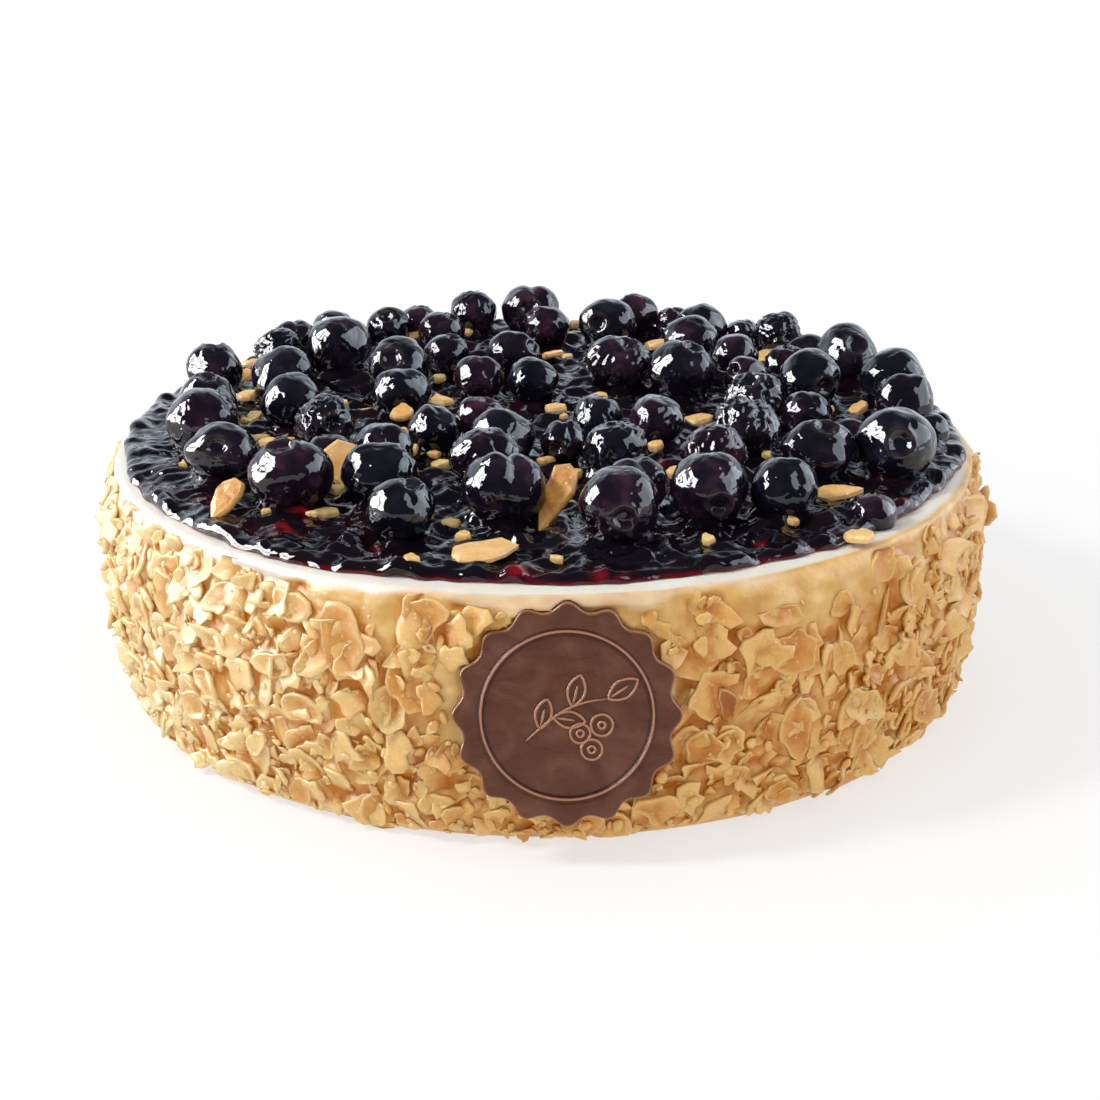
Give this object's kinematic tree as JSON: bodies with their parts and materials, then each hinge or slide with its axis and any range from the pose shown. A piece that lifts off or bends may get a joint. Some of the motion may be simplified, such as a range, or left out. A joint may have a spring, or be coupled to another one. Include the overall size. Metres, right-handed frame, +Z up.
{
  "type": "blueberry cheesecake",
  "caption": "Round cheesecake with an almond-flake side, a glossy blueberry glaze topped with whole berries, and a scalloped chocolate disc on the front.",
  "frame": {"origin": "centre of the cake's flat underside", "axes": "+Z up, -Y towards the side that carries the chocolate seal, +X to the right seen from there"},
  "size_m": [0.2061, 0.2101, 0.0728],
  "materials": {
    "cream_and_almond": "toasted almond flakes stuck in pale cream, satin with a slight gloss on the nuts",
    "blueberry_glaze": "almost black purple fruit jelly, wet gloss",
    "blueberry_skin": "blue-black berry skin under a wet coat of glaze",
    "milk_chocolate": "moulded milk chocolate, satin with fine swirl marks"
  },
  "bodies": {
    "root": {"cheesecake": "cream_and_almond", "blueberry_glaze": "blueberry_glaze", "chocolate_seal": "milk_chocolate", "blueberry_01": "blueberry_skin", "blueberry_02": "blueberry_skin", "blueberry_03": "blueberry_skin", "blueberry_04": "blueberry_skin", "blueberry_05": "blueberry_skin", "blueberry_06": "blueberry_skin", "blueberry_07": "blueberry_skin", "blueberry_08": "blueberry_skin", "blueberry_09": "blueberry_skin", "blueberry_10": "blueberry_skin", "blueberry_11": "blueberry_skin", "blueberry_12": "blueberry_skin", "blueberry_13": "blueberry_skin", "blueberry_14": "blueberry_skin", "blueberry_15": "blueberry_skin", "blueberry_16": "blueberry_skin", "blueberry_17": "blueberry_skin", "blueberry_18": "blueberry_skin", "blueberry_19": "blueberry_skin", "blueberry_20": "blueberry_skin", "blueberry_21": "blueberry_skin", "blueberry_22": "blueberry_skin", "blueberry_23": "blueberry_skin", "blueberry_24": "blueberry_skin", "blueberry_25": "blueberry_skin", "blueberry_26": "blueberry_skin", "blueberry_27": "blueberry_skin", "blueberry_28": "blueberry_skin", "blueberry_29": "blueberry_skin", "blueberry_30": "blueberry_skin", "blueberry_31": "blueberry_skin", "blueberry_32": "blueberry_skin", "blueberry_33": "blueberry_skin", "blueberry_34": "blueberry_skin", "blueberry_35": "blueberry_skin", "blueberry_36": "blueberry_skin", "blueberry_37": "blueberry_skin", "blueberry_38": "blueberry_skin", "blueberry_39": "blueberry_skin", "blueberry_40": "blueberry_skin", "blueberry_41": "blueberry_skin", "blueberry_42": "blueberry_skin", "blueberry_43": "blueberry_skin", "blueberry_44": "blueberry_skin", "blueberry_45": "blueberry_skin", "blueberry_46": "blueberry_skin", "blueberry_47": "blueberry_skin", "blueberry_48": "blueberry_skin", "blueberry_49": "blueberry_skin", "blueberry_50": "blueberry_skin", "blueberry_51": "blueberry_skin", "blueberry_52": "blueberry_skin", "blueberry_53": "blueberry_skin", "blueberry_54": "blueberry_skin", "blueberry_55": "blueberry_skin", "blueberry_56": "blueberry_skin", "blueberry_57": "blueberry_skin"}
  },
  "joints": []
}
